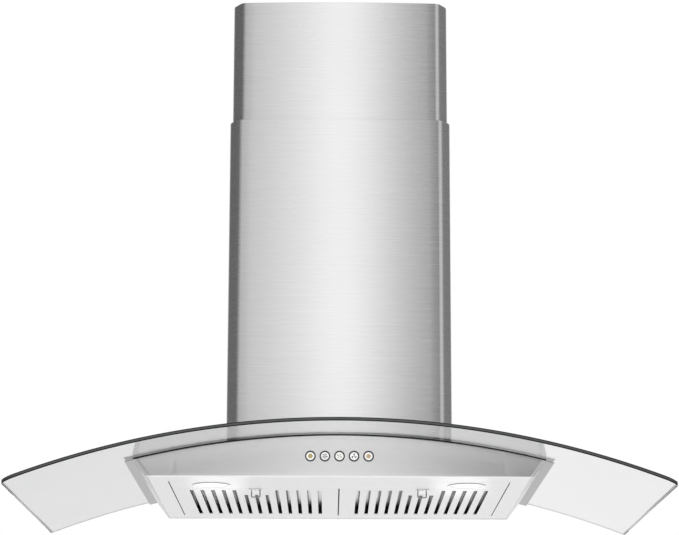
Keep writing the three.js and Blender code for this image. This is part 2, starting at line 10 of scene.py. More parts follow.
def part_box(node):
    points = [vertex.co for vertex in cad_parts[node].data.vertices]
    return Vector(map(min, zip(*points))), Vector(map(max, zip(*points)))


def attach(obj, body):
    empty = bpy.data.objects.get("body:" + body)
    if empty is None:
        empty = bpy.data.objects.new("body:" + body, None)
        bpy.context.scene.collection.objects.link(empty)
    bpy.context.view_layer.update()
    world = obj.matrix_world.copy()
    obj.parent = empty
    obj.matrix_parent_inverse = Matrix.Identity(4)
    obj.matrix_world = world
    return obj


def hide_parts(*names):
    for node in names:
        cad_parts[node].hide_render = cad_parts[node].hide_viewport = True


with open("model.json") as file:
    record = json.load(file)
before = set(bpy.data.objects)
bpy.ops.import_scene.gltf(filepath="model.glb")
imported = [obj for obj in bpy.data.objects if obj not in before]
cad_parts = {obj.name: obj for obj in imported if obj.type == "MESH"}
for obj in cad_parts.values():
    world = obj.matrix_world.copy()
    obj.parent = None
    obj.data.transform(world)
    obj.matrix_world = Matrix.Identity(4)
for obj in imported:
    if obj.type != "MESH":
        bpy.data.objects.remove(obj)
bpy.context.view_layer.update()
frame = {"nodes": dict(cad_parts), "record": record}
MM = 0.001

# ---- sizes read from the frame ----
GLASS_LOW, GLASS_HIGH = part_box("glass_canopy")
PANEL_LOW, PANEL_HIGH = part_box("front_panel")
SHELL_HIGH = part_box("body_shell")[1]
PLATE_LOW, PLATE_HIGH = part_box("top_plate")
FRAME_LOW, FRAME_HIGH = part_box("bottom_frame")
LAMP_PANEL_LOW, LAMP_PANEL_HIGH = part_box("lamp_panel")
NECK_LOW, NECK_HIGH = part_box("neck")

# ---- sizes that the boxes don't give ----
GLASS_THICK = 5 * MM
GLASS_FRONT_CORNER = 18 * MM
GLASS_REAR_CORNER = 8 * MM
SHEET = 1.5 * MM
GAP = 0.3 * MM
GASKET = 1.2 * MM
PANEL_BOW = 6 * MM
OPENING_FRONT = -130 * MM
OPENING_REAR = 262 * MM
OPENING_HALF = 239 * MM
CHIMNEY_BOW = 5 * MM
FACET_X = 13 * MM
FACET_Y = 21 * MM
COVER_SHEET = 1 * MM
COVER_FOLD = 6 * MM

GLASS_HALF = GLASS_HIGH.x
GLASS_SAG = GLASS_HIGH.z - GLASS_THICK
BEND_RADIUS = (GLASS_HALF**2 + GLASS_SAG**2) / (2 * GLASS_SAG)
BODY_FRONT = PANEL_LOW.y + PANEL_BOW
BODY_REAR = SHELL_HIGH.y
BODY_BOTTOM = PANEL_LOW.z
BODY_TOP_HALF = PANEL_HIGH.x
BODY_BOTTOM_HALF = 266 * MM
PLATE_OFFSET = -2 * GAP - GASKET


# ======================================================================
# Camera
# ======================================================================
CAMERA_AT = Vector((-0.0135, -3.4237, -0.4168))
CAMERA_PITCH = math.radians(12.806)
CAMERA_YAW = math.radians(0.226)
CAMERA_ROLL = math.radians(0.161)
CAMERA_LENS = 125.8


def make_camera():
    data = bpy.data.cameras.new("camera")
    data.lens = CAMERA_LENS
    data.sensor_width = 36
    data.clip_end = 100
    camera = bpy.data.objects.new("camera", data)
    bpy.context.scene.collection.objects.link(camera)
    forward = Vector((
        math.sin(CAMERA_YAW) * math.cos(CAMERA_PITCH),
        math.cos(CAMERA_YAW) * math.cos(CAMERA_PITCH),
        math.sin(CAMERA_PITCH),
    ))
    level = Vector((math.cos(CAMERA_YAW), -math.sin(CAMERA_YAW), 0))
    upright = level.cross(forward)
    right = level * math.cos(CAMERA_ROLL) + upright * math.sin(CAMERA_ROLL)
    up = upright * math.cos(CAMERA_ROLL) - level * math.sin(CAMERA_ROLL)
    turn = Matrix((right, up, -forward)).transposed().to_4x4()
    camera.matrix_world = Matrix.Translation(CAMERA_AT) @ turn
    bpy.context.scene.camera = camera


# ======================================================================
# Node helpers
# ======================================================================
class Nodes:
    """Short calls for building one node tree."""

    def __init__(self, tree):
        self.tree = tree

    def add(self, kind, **settings):
        node = self.tree.nodes.new(kind)
        for name, value in settings.items():
            setattr(node, name, value)
        return node

    def link(self, source, target):
        self.tree.links.new(source, target)

    def math(self, operation, a, b=None):
        node = self.add("ShaderNodeMath", operation=operation)
        for socket, value in zip(node.inputs, (a, b)):
            if value is None:
                continue
            if isinstance(value, (int, float)):
                socket.default_value = value
            else:
                self.link(value, socket)
        return node.outputs[0]

    def ramp(self, factor, stops):
        node = self.add("ShaderNodeValToRGB")
        ramp = node.color_ramp
        while len(ramp.elements) < len(stops):
            ramp.elements.new(0.5)
        for element, (position, value) in zip(ramp.elements, stops):
            element.position = position
            element.color = value if len(value) == 4 else (*value, 1)
        self.link(factor, node.inputs[0])
        return node.outputs[0]

    def stretched_noise(self, scale, detail=3, roughness=0.6):
        """Noise in the piece's own coordinates, scaled separately along X, Y and Z."""
        where = self.add("ShaderNodeTexCoord").outputs["Object"]
        mapping = self.add("ShaderNodeMapping")
        mapping.inputs["Scale"].default_value = scale
        self.link(where, mapping.inputs["Vector"])
        noise = self.add("ShaderNodeTexNoise")
        noise.inputs["Scale"].default_value = 1
        noise.inputs["Detail"].default_value = detail
        noise.inputs["Roughness"].default_value = roughness
        self.link(mapping.outputs[0], noise.inputs["Vector"])
        return noise.outputs["Fac"]

    def bump(self, height, distance, strength=1.0):
        node = self.add("ShaderNodeBump")
        node.inputs["Distance"].default_value = distance
        node.inputs["Strength"].default_value = strength
        self.link(height, node.inputs["Height"])
        return node.outputs[0]


def new_material(name):
    material = bpy.data.materials.new(name)
    material.use_nodes = True
    nodes = Nodes(material.node_tree)
    shader = material.node_tree.nodes["Principled BSDF"]
    return material, nodes, shader


def grey(value):
    return (value, value, value)


# ======================================================================
# Materials
# ======================================================================
def brushed_steel(name, tone, roughness, upright, anisotropy=0.9, depth=0.006 * MM, contrast=0.1):
    """Stainless sheet with fine straight brush lines: level ones on upright walls, or ones along X."""
    material, nodes, shader = new_material(name)
    along = 45 if upright else 30
    scale = (along, along, 1400) if upright else (along, 1400, 1400)
    long_scale = (9, 9, 500) if upright else (9, 500, 500)
    lines = nodes.stretched_noise(scale, detail=3, roughness=0.7)
    bands = nodes.stretched_noise(long_scale, detail=4, roughness=0.65)
    cloud = nodes.stretched_noise((5, 5, 5), detail=2)
    mixed = nodes.math("ADD", nodes.math("MULTIPLY", lines, 0.6), nodes.math("MULTIPLY", bands, 0.4))
    low, high = tone * (1 - contrast), min(1, tone * (1 + contrast * 0.6))
    colour = nodes.ramp(mixed, [(0.3, grey(low)), (0.7, grey(high))])
    nodes.link(colour, shader.inputs["Base Color"])
    worn = nodes.math("ADD", nodes.math("MULTIPLY", mixed, 0.12), nodes.math("MULTIPLY", cloud, 0.04))
    nodes.link(nodes.math("ADD", worn, roughness - 0.08), shader.inputs["Roughness"])
    nodes.link(nodes.bump(lines, depth), shader.inputs["Normal"])
    shader.inputs["Metallic"].default_value = 1
    shader.inputs["Anisotropic"].default_value = anisotropy
    across = nodes.add("ShaderNodeTangent", direction_type="RADIAL", axis="Z" if upright else "X")
    nodes.link(across.outputs[0], shader.inputs["Tangent"])
    shader.inputs["Anisotropic Rotation"].default_value = 0.25 if upright else 0
    return material


def polished_metal(name, tone, roughness=0.12):
    material, nodes, shader = new_material(name)
    smear = nodes.stretched_noise((60, 60, 60), detail=4)
    colour = nodes.ramp(smear, [(0.3, grey(tone * 0.94)), (0.7, grey(tone))])
    nodes.link(colour, shader.inputs["Base Color"])
    worn = nodes.math("MULTIPLY", smear, 0.1)
    nodes.link(nodes.math("ADD", worn, roughness - 0.05), shader.inputs["Roughness"])
    shader.inputs["Metallic"].default_value = 1
    return material


def galvanised_steel(name):
    """Zinc-coated sheet: crystals of slightly different greys, dulled in patches."""
    material, nodes, shader = new_material(name)
    where = nodes.add("ShaderNodeTexCoord").outputs["Object"]
    spangle = nodes.add("ShaderNodeTexVoronoi", feature="F1")
    spangle.inputs["Scale"].default_value = 130
    nodes.link(where, spangle.inputs["Vector"])
    shade = nodes.add("ShaderNodeSeparateColor")
    nodes.link(spangle.outputs["Color"], shade.inputs[0])
    colour = nodes.ramp(shade.outputs[0], [(0, (0.42, 0.43, 0.44)), (1, (0.62, 0.63, 0.64))])
    nodes.link(colour, shader.inputs["Base Color"])
    cloud = nodes.stretched_noise((20, 20, 20), detail=4)
    crystals = nodes.math("MULTIPLY", shade.outputs[1], 0.15)
    blend = nodes.math("ADD", crystals, nodes.math("MULTIPLY", cloud, 0.3))
    nodes.link(nodes.math("ADD", blend, 0.22), shader.inputs["Roughness"])
    nodes.link(nodes.bump(cloud, 0.05 * MM), shader.inputs["Normal"])
    shader.inputs["Metallic"].default_value = 0.9
    return material


def moulded_plastic(name, colour, roughness, grain=0.03 * MM, spread=0.12, coat=0.0):
    """Plastic with a fine moulded grain and a faint change of tone."""
    material, nodes, shader = new_material(name)
    fine = nodes.stretched_noise((3000, 3000, 3000), detail=2)
    cloud = nodes.stretched_noise((40, 40, 40), detail=3)
    low = [c * (1 - spread) for c in colour]
    high = [min(1, c * (1 + spread)) for c in colour]
    nodes.link(nodes.ramp(cloud, [(0.3, low), (0.7, high)]), shader.inputs["Base Color"])
    worn = nodes.math("MULTIPLY", cloud, 0.12)
    nodes.link(nodes.math("ADD", worn, roughness - 0.06), shader.inputs["Roughness"])
    nodes.link(nodes.bump(fine, grain), shader.inputs["Normal"])
    shader.inputs["Coat Weight"].default_value = coat
    return material


def light_up(material, colour, strength):
    """Gives a material an even glow: painted light that brightens the buttons, and an evenly pale floor.
    """
    shader = material.node_tree.nodes["Principled BSDF"]
    shader.inputs["Emission Color"].default_value = (*colour, 1)
    shader.inputs["Emission Strength"].default_value = strength


def clear_glass(name):
    """Tempered sheet glass with the faint green-grey of its edges."""
    material, nodes, shader = new_material(name)
    cloud = nodes.stretched_noise((6, 6, 6), detail=2)
    colour = nodes.ramp(cloud, [(0.3, (0.912, 0.922, 0.918)), (0.7, (0.938, 0.948, 0.943))])
    nodes.link(colour, shader.inputs["Base Color"])
    nodes.link(nodes.math("MULTIPLY", cloud, 0.02), shader.inputs["Roughness"])
    shader.inputs["Transmission Weight"].default_value = 1
    shader.inputs["IOR"].default_value = 1.5
    return material


def ground_edge(name, tone, specular):
    """The ground and polished rim of the sheet, which shows the glass's deep grey-green. Made near-black
    for the arris, it is painted shade.
    """
    material, nodes, shader = new_material(name)
    frost = nodes.stretched_noise((700, 700, 700), detail=3)
    low, high = [(level * 0.95, level * 1.03, level) for level in (tone * 0.85, tone * 1.15)]
    colour = nodes.ramp(frost, [(0.3, low), (0.7, high)])
    nodes.link(colour, shader.inputs["Base Color"])
    nodes.link(nodes.math("ADD", nodes.math("MULTIPLY", frost, 0.1), 0.12), shader.inputs["Roughness"])
    nodes.link(nodes.bump(frost, 0.01 * MM), shader.inputs["Normal"])
    shader.inputs["IOR"].default_value = 1.5
    shader.inputs["Specular IOR Level"].default_value = specular
    return material


def lit_lens(name, strength):
    """A frosted lamp cover that glows evenly."""
    material, nodes, shader = new_material(name)
    cells = nodes.stretched_noise((900, 900, 900), detail=2)
    nodes.link(nodes.ramp(cells, [(0.3, grey(0.82)), (0.7, grey(0.92))]), shader.inputs["Base Color"])
    glow = nodes.ramp(cells, [(0.2, (1, 0.97, 0.92)), (0.8, (1, 1, 0.98))])
    nodes.link(glow, shader.inputs["Emission Color"])
    shader.inputs["Emission Strength"].default_value = strength
    nodes.link(nodes.bump(cells, 0.1 * MM), shader.inputs["Normal"])
    return material


def circuit_board(name):
    """Green solder mask crossed by paler tracks."""
    material, nodes, shader = new_material(name)
    where = nodes.add("ShaderNodeTexCoord").outputs["Object"]
    tracks = nodes.add("ShaderNodeTexBrick")
    tracks.inputs["Scale"].default_value = 90
    tracks.inputs["Mortar Size"].default_value = 0.03
    tracks.inputs["Color1"].default_value = (0.02, 0.16, 0.07, 1)
    tracks.inputs["Color2"].default_value = (0.025, 0.20, 0.09, 1)
    tracks.inputs["Mortar"].default_value = (0.10, 0.36, 0.18, 1)
    nodes.link(where, tracks.inputs["Vector"])
    nodes.link(tracks.outputs["Color"], shader.inputs["Base Color"])
    nodes.link(nodes.bump(tracks.outputs["Fac"], 0.05 * MM), shader.inputs["Normal"])
    shader.inputs["Roughness"].default_value = 0.35
    return material


CHIMNEY_STEEL = brushed_steel("chimney_brushed_steel", 0.80, 0.26, upright=True, contrast=0.08)
BODY_STEEL = brushed_steel("body_brushed_steel", 0.80, 0.26, upright=False, contrast=0.07)
# The fascia is a darker copy of the body's brushed steel: its lower tone (0.60 against 0.80) is painted
# shade.
FASCIA_PAINTED_SHADE_STEEL = brushed_steel("fascia_steel_painted_shade", 0.60, 0.21, upright=False, contrast=0.05)
PLATE_STEEL = brushed_steel(
    "mill_finish_steel", 0.46, 0.36, upright=False, anisotropy=0.3, contrast=0.05,
)
UNDER_STEEL = brushed_steel(
    "underside_brushed_steel", 0.86, 0.34, upright=False, anisotropy=0.5, contrast=0.03,
)
FILTER_STEEL = brushed_steel(
    "filter_satin_steel", 0.84, 0.32, upright=False, anisotropy=0.4, contrast=0.03,
)
# The baffles are a brighter copy of the filter steel (0.95 against 0.84): the extra brightness is
# painted light, so they read white through the slots.
BAFFLE_PAINTED_LIGHT_STEEL = brushed_steel(
    "baffle_steel_painted_light", 0.95, 0.25, upright=False, anisotropy=0.3, contrast=0.03,
)
# Near-black painted shade for the inner walls of the filter rims, which are plain steel in shadow.
PAINTED_SHADE_BLACK = moulded_plastic("filter_inner_painted_shade", (0.012, 0.012, 0.013), 0.6)
RIM_METAL = polished_metal("polished_rim", 0.85)
LATCH_WIRE = polished_metal("latch_wire_steel", 0.32, 0.3)
# A near-white copy of the fascia steel for its bottom fold and cut edges: a painted highlight for the
# bright line along the fold.
FOLD_PAINTED_HIGHLIGHT = polished_metal("fold_steel_painted_highlight", 0.98, 0.3)
# Near-black painted shade for the shadow line round each button.
BEZEL_PAINTED_SHADOW = moulded_plastic("bezel_painted_shadow_line", (0.012, 0.012, 0.013), 0.5)
GALVANISED = galvanised_steel("galvanised_sheet")
SEAL = moulded_plastic("seal_rubber", (0.012, 0.012, 0.012), 0.75)
BLACK_PLASTIC = moulded_plastic("black_moulded_plastic", (0.035, 0.036, 0.04), 0.5)
WHITE_PLASTIC = moulded_plastic("white_case_plastic", (0.78, 0.78, 0.76), 0.45, spread=0.04)
BUTTON_PAINTED_GLOW_WHITE = moulded_plastic(
    "button_painted_glow_white", (0.92, 0.92, 0.90), 0.22, grain=0.005 * MM, spread=0.02, coat=0.6,
)
# The even glow on the buttons is painted light that brightens their white faces.
light_up(BUTTON_PAINTED_GLOW_WHITE, (1, 1, 0.98), 0.35)
ICON_DARK = moulded_plastic("icon_ink_dark", (0.05, 0.055, 0.08), 0.4)
ICON_AMBER = moulded_plastic("icon_ink_amber", (0.62, 0.50, 0.22), 0.4)
ICON_GREEN = moulded_plastic("icon_ink_green", (0.50, 0.56, 0.40), 0.4)
ICON_PEACH = moulded_plastic("icon_ink_peach", (0.66, 0.50, 0.34), 0.4)
BOARD = circuit_board("green_circuit_board")
ALUMINIUM = polished_metal("cast_aluminium", 0.68, 0.38)
GLASS = clear_glass("tempered_glass")
GLASS_EDGE = ground_edge("glass_ground_edge", 0.05, 0.4)
# The near-black arris is painted shade: the dark lines along the bevels of the glass edge.
GLASS_ARRIS_PAINTED_SHADE = ground_edge("glass_arris_painted_shade", 0.004, 0.05)
LENS = lit_lens("lit_lamp_lens", 0.9)


# ======================================================================
# Mesh helpers
# ======================================================================
def bevelled(piece, width, segments=2, angle=35):
    modifier = piece.modifiers.new("edge", "BEVEL")
    modifier.width = width
    modifier.segments = segments
    modifier.limit_method = "ANGLE"
    modifier.angle_limit = math.radians(angle)
    modifier.harden_normals = True
    return piece


def finish_piece(name, bm, material, body, stands_for=(), smooth=32, recalc=True):
    """Turns a bmesh into a shown piece that rides on a CAD body."""
    bmesh.ops.remove_doubles(bm, verts=bm.verts, dist=1e-6)
    if recalc:
        bmesh.ops.recalc_face_normals(bm, faces=bm.faces)
    mesh = bpy.data.meshes.new(name)
    bm.to_mesh(mesh)
    bm.free()
    mesh.materials.append(material)
    mesh.shade_smooth()
    mesh.set_sharp_from_angle(angle=math.radians(smooth))
    piece = bpy.data.objects.new(name, mesh)
    bpy.context.scene.collection.objects.link(piece)
    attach(piece, body)
    if stands_for:
        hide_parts(*stands_for)
    return piece


def add_prism(bm, outline, holes, low, high, place=lambda x, y, z: (x, y, z)):
    """Extrudes a flat outline with holes from low to high. place() puts each point in the row frame."""
    loops = [outline, *holes]
    levels = []
    for level in (low, high):
        rings = []
        edges = []
        for loop in loops:
            ring = [bm.verts.new(place(x, y, level)) for x, y in loop]
            rings.append(ring)
            edges += [bm.edges.new((ring[i], ring[(i + 1) % len(ring)])) for i in range(len(ring))]
        bmesh.ops.triangle_fill(bm, edges=edges, use_beauty=True)
        levels.append(rings)
    for lower, upper in zip(*levels):
        count = len(lower)
        for i in range(count):
            j = (i + 1) % count
            bm.faces.new((lower[i], lower[j], upper[j], upper[i]))


def rectangle(x0, x1, y0, y1):
    return [(x0, y0), (x1, y0), (x1, y1), (x0, y1)]


def rounded_rectangle(x0, x1, y0, y1, radius, steps=6):
    corners = [
        (x1 - radius, y0 + radius, -90),
        (x1 - radius, y1 - radius, 0),
        (x0 + radius, y1 - radius, 90),
        (x0 + radius, y0 + radius, 180),
    ]
    points = []
    for cx, cy, start in corners:
        for i in range(steps + 1):
            angle = math.radians(start + 90 * i / steps)
            points.append((cx + radius * math.cos(angle), cy + radius * math.sin(angle)))
    return points


def circle(cx, cy, radius, count=48):
    turn = 2 * math.pi / count
    return [(cx + radius * math.cos(i * turn), cy + radius * math.sin(i * turn)) for i in range(count)]


def add_lathe(bm, profile, centre, axis="z", count=64):
    """Turns a profile of (radius, height) round an axis. A closed profile makes a ring."""
    cx, cy, cz = centre
    rings = []
    for i in range(count):
        angle = 2 * math.pi * i / count
        ring = []
        for radius, height in profile:
            a, b = radius * math.cos(angle), radius * math.sin(angle)
            point = (cx + a, cy + b, cz + height) if axis == "z" else (cx + a, cy + height, cz - b)
            ring.append(bm.verts.new(point))
        rings.append(ring)
    for i in range(count):
        here, there = rings[i], rings[(i + 1) % count]
        for k in range(len(profile) - 1):
            bm.faces.new((here[k], there[k], there[k + 1], here[k + 1]))


def bend_z(x, offset):
    """Height of the common bend, moved outwards by offset from the underside of the glass."""
    return math.sqrt((BEND_RADIUS + offset) ** 2 - x * x) - (BEND_RADIUS - GLASS_SAG)


def spread(low, high, count):
    return [low + (high - low) * i / count for i in range(count + 1)]


def add_bent_sheet(bm, columns, front, rear, hole, low, high):
    """A sheet that follows the bend. front and rear give its ends at each x.

    hole is (half width, y0, y1).
    """
    hole_half, hole_front, hole_rear = hole
    grids = []
    for offset in (low, high):
        grid = []
        for x in columns:
            rows = [front(x), hole_front, hole_rear, rear(x)]
            grid.append([bm.verts.new((x, y, bend_z(x, offset))) for y in rows])
        grids.append(grid)
    under, over = grids

    def open_cell(i, j):
        middle = (columns[i] + columns[i + 1]) / 2
        return j == 1 and abs(middle) < hole_half

    last = len(columns) - 1
    for i in range(last):
        for j in range(3):
            if open_cell(i, j):
                continue
            for grid in grids:
                bm.faces.new((grid[i][j], grid[i + 1][j], grid[i + 1][j + 1], grid[i][j + 1]))
            sides = [
                (j == 0 or open_cell(i, j - 1), (i, j), (i + 1, j)),
                (j == 2 or open_cell(i, j + 1), (i, j + 1), (i + 1, j + 1)),
                (i == 0 or open_cell(i - 1, j), (i, j), (i, j + 1)),
                (i == last - 1 or open_cell(i + 1, j), (i + 1, j), (i + 1, j + 1)),
            ]
            for is_edge, (a, b), (c, d) in sides:
                if is_edge:
                    bm.faces.new((under[a][b], under[c][d], over[c][d], over[a][b]))


def bend_columns(half, hole_half, step=12 * MM, extra=()):
    """X positions across a bent sheet, with the hole's edges among them."""
    inner = spread(-hole_half, hole_half, max(2, round(2 * hole_half / step)))
    outer = spread(hole_half, half, max(2, round((half - hole_half) / step)))[1:]
    marks = set(inner) | set(outer) | {-x for x in outer} | set(extra) | {-x for x in extra}
    return sorted(marks)


# ======================================================================
# Glass canopy
# ======================================================================
def corner_inset(x, radius):
    """How far a rounded corner pulls the end of the glass in at x."""
    past = abs(x) - (GLASS_HALF - radius)
    if past <= 0:
        return 0
    return radius - math.sqrt(max(radius**2 - past**2, 0))


def is_rim(face, mesh):
    """True if the face joins the sheet's two surfaces: it lies on the outline or round the hole."""
    heights = [mesh.vertices[i].co for i in face.vertices]
    offsets = [math.hypot(p.x, p.z + BEND_RADIUS - GLASS_SAG) - BEND_RADIUS for p in heights]
    return max(offsets) - min(offsets) > GLASS_THICK / 2


def make_glass():
    bm = bmesh.new()
    hole_half = NECK_HIGH.x + 2 * MM
    turns = [math.radians(degrees) for degrees in range(0, 90, 15)]
    curved = [GLASS_HALF - GLASS_FRONT_CORNER * (1 - math.sin(turn)) for turn in turns]
    columns = bend_columns(GLASS_HALF, hole_half, extra=curved)
    add_bent_sheet(
        bm,
        columns,
        lambda x: GLASS_LOW.y + corner_inset(x, GLASS_FRONT_CORNER),
        lambda x: GLASS_HIGH.y - corner_inset(x, GLASS_REAR_CORNER),
        (hole_half, NECK_LOW.y - 2 * MM, NECK_HIGH.y + 2 * MM),
        0,
        GLASS_THICK,
    )
    sheet = finish_piece("glass_sheet", bm, GLASS, "hood", ["glass_canopy"], smooth=40)
    sheet.data.materials.append(GLASS_EDGE)
    sheet.data.materials.append(GLASS_ARRIS_PAINTED_SHADE)
    for face in sheet.data.polygons:
        if face.area < 1e-4 and is_rim(face, sheet.data):
            face.material_index = 1
    arris = bevelled(sheet, 1.2 * MM, 2, angle=50).modifiers["edge"]
    # The bevels take the near-black painted shade.
    arris.material = 2
    arris.use_clamp_overlap = False


def bow_front(x, setback=0.0):
    """The y of the bowed front of the body at x."""
    radius = (BODY_TOP_HALF**2 + PANEL_BOW**2) / (2 * PANEL_BOW)
    return BODY_FRONT + setback - math.sqrt(radius**2 - x * x) + radius - PANEL_BOW


def make_gasket():
    bm = bmesh.new()
    width = 3.5 * MM
    hole_half = BODY_TOP_HALF - width
    add_bent_sheet(
        bm,
        bend_columns(BODY_TOP_HALF, hole_half),
        lambda x: bow_front(x, 0.4 * MM),
        lambda x: BODY_REAR - MM,
        (hole_half, BODY_FRONT + width, BODY_REAR - width),
        -GAP - GASKET,
        -GAP,
    )
    finish_piece("canopy_seal", bm, SEAL, "hood", ["glass_gasket"])


# ======================================================================
# Body
# ======================================================================
SIDE_TOP_Z = bend_z(BODY_TOP_HALF, PLATE_OFFSET)
SIDE_SLOPE = (BODY_TOP_HALF - BODY_BOTTOM_HALF) / (SIDE_TOP_Z - BODY_BOTTOM)


def side_x(z):
    return BODY_BOTTOM_HALF + (z - BODY_BOTTOM) * SIDE_SLOPE


BUTTON_NAMES = ["power", "fan_low", "fan_medium", "fan_high", "light"]


def middle(node):
    low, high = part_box(node)
    return (low + high) / 2


def make_front_panel():
    """One folded sheet: the bowed face with a rounded fold into its bottom and top lips."""
    fold, back = 1.6 * MM, BODY_FRONT + SHEET
    turns = [math.radians(90 * i / 5) for i in range(6)]

    def bottom_point(side, turn):
        z = BODY_BOTTOM + fold * (1 - math.cos(turn))
        x = side * side_x(z)
        return x, bow_front(x, fold * (1 - math.sin(turn))), z

    def top_point(side, turn):
        drop = fold * (1 - math.sin(turn))
        x = side * side_x(SIDE_TOP_Z - drop)
        return x, bow_front(x, fold * (1 - math.cos(turn))), bend_z(x, PLATE_OFFSET) - drop

    def line_at(side):
        bottom = [bottom_point(side, turn) for turn in turns]
        top = [top_point(side, turn) for turn in turns]
        face = []
        for share in spread(0, 1, 8)[1:-1]:
            x0, _, z0 = bottom[-1]
            x1, _, z1 = top[0]
            x, z = x0 + (x1 - x0) * share, z0 + (z1 - z0) * share
            face.append((x, bow_front(x), z))
        first = (bottom[0][0], back, BODY_BOTTOM)
        last = (top[-1][0], back, top[-1][2])
        return [first, *bottom, *face, *top, last]

    bm = bmesh.new()
    lines = [[bm.verts.new(point) for point in line_at(side)] for side in spread(-1, 1, 72)]
    for here, there in zip(lines, lines[1:]):
        for k in range(len(here) - 1):
            face = bm.faces.new((here[k], there[k], there[k + 1], here[k + 1]))
            # The bottom lip and fold take the near-white painted highlight.
            face.material_index = 1 if k < 6 else 0
    panel = finish_piece(
        "front_fascia", bm, FASCIA_PAINTED_SHADE_STEEL, "hood", ["front_panel"], recalc=False,
    )
    panel.data.materials.append(FOLD_PAINTED_HIGHLIGHT)
    thick = panel.modifiers.new("sheet", "SOLIDIFY")
    thick.thickness = 1.2 * MM
    thick.offset = -1
    thick.material_offset_rim = 1


def make_body_shell():
    """The sloping sides and the rear wall."""
    bm = bmesh.new()
    top = PLATE_OFFSET - SHEET - GAP
    x_top = BODY_TOP_HALF - 1.2 * MM
    front = BODY_FRONT + SHEET + GAP
    for side in (-1, 1):
        z_top = bend_z(x_top, top)
        outer_top = side_x(z_top)
        section = [
            (side * BODY_BOTTOM_HALF, BODY_BOTTOM),
            (side * outer_top, z_top),
            (side * (outer_top - SHEET), z_top),
            (side * (BODY_BOTTOM_HALF - SHEET), BODY_BOTTOM),
        ]
        add_prism(bm, section, [], front, BODY_REAR, lambda a, b, c: (a, c, b))
    inner = BODY_BOTTOM_HALF - SHEET
    xs = spread(inner, -inner, 40)
    wall = [(-inner, BODY_BOTTOM), (inner, BODY_BOTTOM)]
    wall += [(x, bend_z(x, top)) for x in xs]
    add_prism(bm, wall, [], BODY_REAR - SHEET, BODY_REAR, lambda a, b, c: (a, c, b))
    shell = finish_piece("body_sides", bm, BODY_STEEL, "hood", ["body_shell"])
    bevelled(shell, 0.4 * MM)


def make_top_plate():
    bm = bmesh.new()
    half = PLATE_HIGH.x
    neck = (110 * MM, NECK_LOW.y + 34 * MM, NECK_HIGH.y - 34 * MM)
    add_bent_sheet(
        bm,
        bend_columns(half, neck[0]),
        lambda x: PLATE_LOW.y,
        lambda x: PLATE_HIGH.y,
        neck,
        PLATE_OFFSET - SHEET,
        PLATE_OFFSET,
    )
    plate = finish_piece("body_top_sheet", bm, PLATE_STEEL, "hood", ["top_plate"])
    bevelled(plate, 0.4 * MM, angle=50)


def make_bottom_frame():
    """The underside's border round its opening."""
    bm = bmesh.new()
    x = BODY_BOTTOM_HALF - SHEET - GAP
    outer = rectangle(-x, x, FRAME_LOW.y, FRAME_HIGH.y)
    hole = rectangle(-OPENING_HALF, OPENING_HALF, OPENING_FRONT, OPENING_REAR)
    add_prism(bm, outer, [hole], FRAME_LOW.z, FRAME_HIGH.z)
    border = finish_piece("underside_border", bm, UNDER_STEEL, "hood", ["bottom_frame"])
    bevelled(border, 0.2 * MM)


def make_lamp_panel():
    bm = bmesh.new()
    low, high = LAMP_PANEL_LOW, LAMP_PANEL_HIGH
    trim = 0.9 * MM
    holes = []
    for side in ("left", "right"):
        c = middle(f"lamp_bezel_{side}")
        holes.append(circle(c.x, c.y, 24.3 * MM))
    outline = rounded_rectangle(low.x + trim, high.x - trim, low.y, high.y, 1.5 * MM)
    add_prism(bm, outline, holes, low.z, high.z)
    panel = finish_piece("lamp_strip", bm, UNDER_STEEL, "hood", ["lamp_panel"])
    bevelled(panel, 0.4 * MM)


# ======================================================================
# Lamps
# ======================================================================
def make_lamp(side):
    low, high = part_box(f"lamp_bezel_{side}")
    centre = middle(f"lamp_bezel_{side}")
    at = (centre.x, centre.y, BODY_BOTTOM)
    outer = high.x - centre.x
    ring = [
        (outer, -0.3 * MM), (outer, -0.8 * MM), (outer - 0.8 * MM, -1.4 * MM),
        (outer - 2.6 * MM, -1.5 * MM), (outer - 4.2 * MM, -0.9 * MM), (outer - 5.2 * MM, 1.2 * MM),
        (outer - 5.2 * MM, 3 * MM), (outer - 3.4 * MM, 3 * MM), (outer - 3.3 * MM, -0.3 * MM),
        (outer, -0.3 * MM),
    ]
    bm = bmesh.new()
    add_lathe(bm, ring, at)
    finish_piece(f"lamp_rim_{side}", bm, RIM_METAL, "hood", [f"lamp_bezel_{side}"])
    r = outer - 5.5 * MM
    steps, drop = 9, 1.1 * MM
    turns = [math.radians(90 * i / steps) for i in range(steps)]
    dome = [(0.0001 * MM, MM), (r, MM)]
    dome += [(r * math.cos(turn), -drop * math.sin(turn)) for turn in turns]
    dome += [(0.0001 * MM, -drop)]
    bm = bmesh.new()
    add_lathe(bm, dome, at)
    finish_piece(f"lamp_cover_{side}", bm, LENS, "hood", [f"lamp_lens_{side}"])


# ======================================================================
# Filters
# ======================================================================
SLOT_COUNT = 13
SLOT_PITCH = 15.3 * MM
SLOT_WIDTH = 5.5 * MM
SLOT_FRONT = -39 * MM
SLOT_REAR = 242 * MM
SLOT_FRONT_BY_LATCH = 14 * MM
FACE_SHEET = 1.2 * MM


def slot_x(centre, index):
    return centre + (index - (SLOT_COUNT - 1) / 2) * SLOT_PITCH


